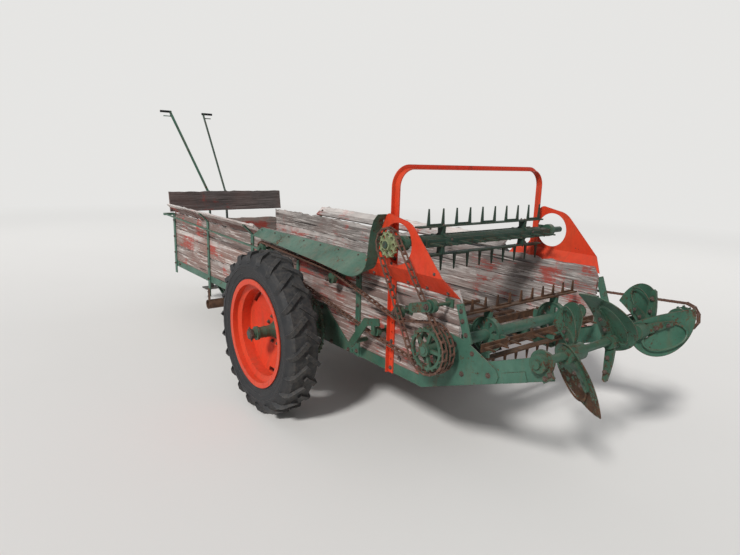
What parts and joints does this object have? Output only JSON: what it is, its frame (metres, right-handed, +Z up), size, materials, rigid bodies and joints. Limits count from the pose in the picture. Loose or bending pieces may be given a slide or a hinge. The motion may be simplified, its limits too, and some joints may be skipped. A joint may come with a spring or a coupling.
{
  "type": "manure spreader",
  "caption": "Towed two-wheeled farm spreader: a board-sided box with a moving apron, two toothed beaters under an arch and a rear shaft of paddles.",
  "frame": {"origin": "on the ground in the middle of the overall length and width", "axes": "+X to the machine's left, +Y to its rear, +Z up"},
  "size_m": [2.1, 5.6531, 2],
  "materials": {
    "beater_green": "dark green paint",
    "bright_red": "bright orange-red paint",
    "cast_green": "faded green paint on cast iron",
    "dark_steel": "dark worn paint",
    "dark_wood": "dark weathered board",
    "dull_red": "dull red paint",
    "frame_green": "faded green paint",
    "rusty_iron": "rust",
    "rusty_steel": "rust over old paint",
    "tyre": "worn black rubber",
    "weathered_wood": "weathered grey boards with remains of red paint"
  },
  "bodies": {
    "frame": {"sills": "frame_green", "axle_brackets": "frame_green", "gussets": "frame_green", "cross_members": "dark_steel", "front_pipe": "rusty_steel", "drawbar": "frame_green", "hitch": "frame_green", "stand_mount": "frame_green", "floor_boards": "weathered_wood", "side_boards": "weathered_wood", "front_panel": "weathered_wood", "flare_boards": "weathered_wood", "front_flare": "dark_wood", "stakes": "frame_green", "arch": "bright_red", "shields": "bright_red", "chain_guard": "frame_green", "bearings": "cast_green", "main_chain": "rusty_iron", "upper_chain": "rusty_iron", "distributor_chain": "rusty_iron", "idlers": "cast_green", "apron": "rusty_steel", "feed_ratchet": "cast_green", "control_rod": "frame_green", "lever_rack": "dull_red"},
    "jack": {"stand": "dark_steel"},
    "axle": {"axle": "dark_steel", "axle_sprocket": "cast_green"},
    "left_wheel": {"tyre_left": "tyre", "rim_left": "bright_red", "hub_left": "cast_green"},
    "right_wheel": {"tyre_right": "tyre", "rim_right": "bright_red", "hub_right": "cast_green"},
    "upper_beater": {"upper_beater": "beater_green", "upper_sprocket": "cast_green"},
    "lower_beater": {"lower_beater": "rusty_steel", "lower_sprockets": "cast_green"},
    "distributor": {"distributor": "cast_green", "paddles": "frame_green"},
    "clutch_lever": {"clutch_lever": "frame_green"},
    "feed_lever": {"feed_lever": "dark_steel"}
  },
  "joints": [
    {"name": "axle_spin", "type": "hinge", "parent": "frame", "child": "axle", "pos_m": [0, 0.9674, 0.5], "axis": [1, 0, 0], "continuous": true},
    {"name": "left_wheel_spin", "type": "hinge", "parent": "axle", "child": "left_wheel", "pos_m": [0.93, 0.9674, 0.5], "axis": [1, 0, 0], "continuous": true},
    {"name": "right_wheel_spin", "type": "hinge", "parent": "axle", "child": "right_wheel", "pos_m": [-0.93, 0.9674, 0.5], "axis": [1, 0, 0], "continuous": true},
    {"name": "lower_beater_spin", "type": "hinge", "parent": "frame", "child": "lower_beater", "pos_m": [0, 2.1324, 0.69], "axis": [1, 0, 0], "continuous": true},
    {"name": "upper_beater_spin", "type": "hinge", "parent": "frame", "child": "upper_beater", "pos_m": [0, 1.8274, 1.14], "axis": [1, 0, 0], "continuous": true},
    {"name": "distributor_spin", "type": "hinge", "parent": "frame", "child": "distributor", "pos_m": [0, 2.67777, 0.77494], "axis": [1, 0, 0], "continuous": true},
    {"name": "clutch_lever_swing", "type": "hinge", "parent": "frame", "child": "clutch_lever", "pos_m": [0.153, -1.8426, 0.66], "axis": [1, 0, 0], "range_deg": [-8, 20]},
    {"name": "feed_lever_swing", "type": "hinge", "parent": "frame", "child": "feed_lever", "pos_m": [-0.037, -1.8426, 0.66], "axis": [1, 0, 0], "range_deg": [-8, 20]},
    {"name": "stand_fold", "type": "hinge", "parent": "frame", "child": "jack", "pos_m": [0, -2.2726, 0.3299], "axis": [1, 0, 0], "range_deg": [0, 85]}
  ],
  "couplings": [
    {"joint": "upper_beater_spin", "follows": "lower_beater_spin", "ratio": 1.5},
    {"joint": "distributor_spin", "follows": "lower_beater_spin", "ratio": 1.6364}
  ]
}
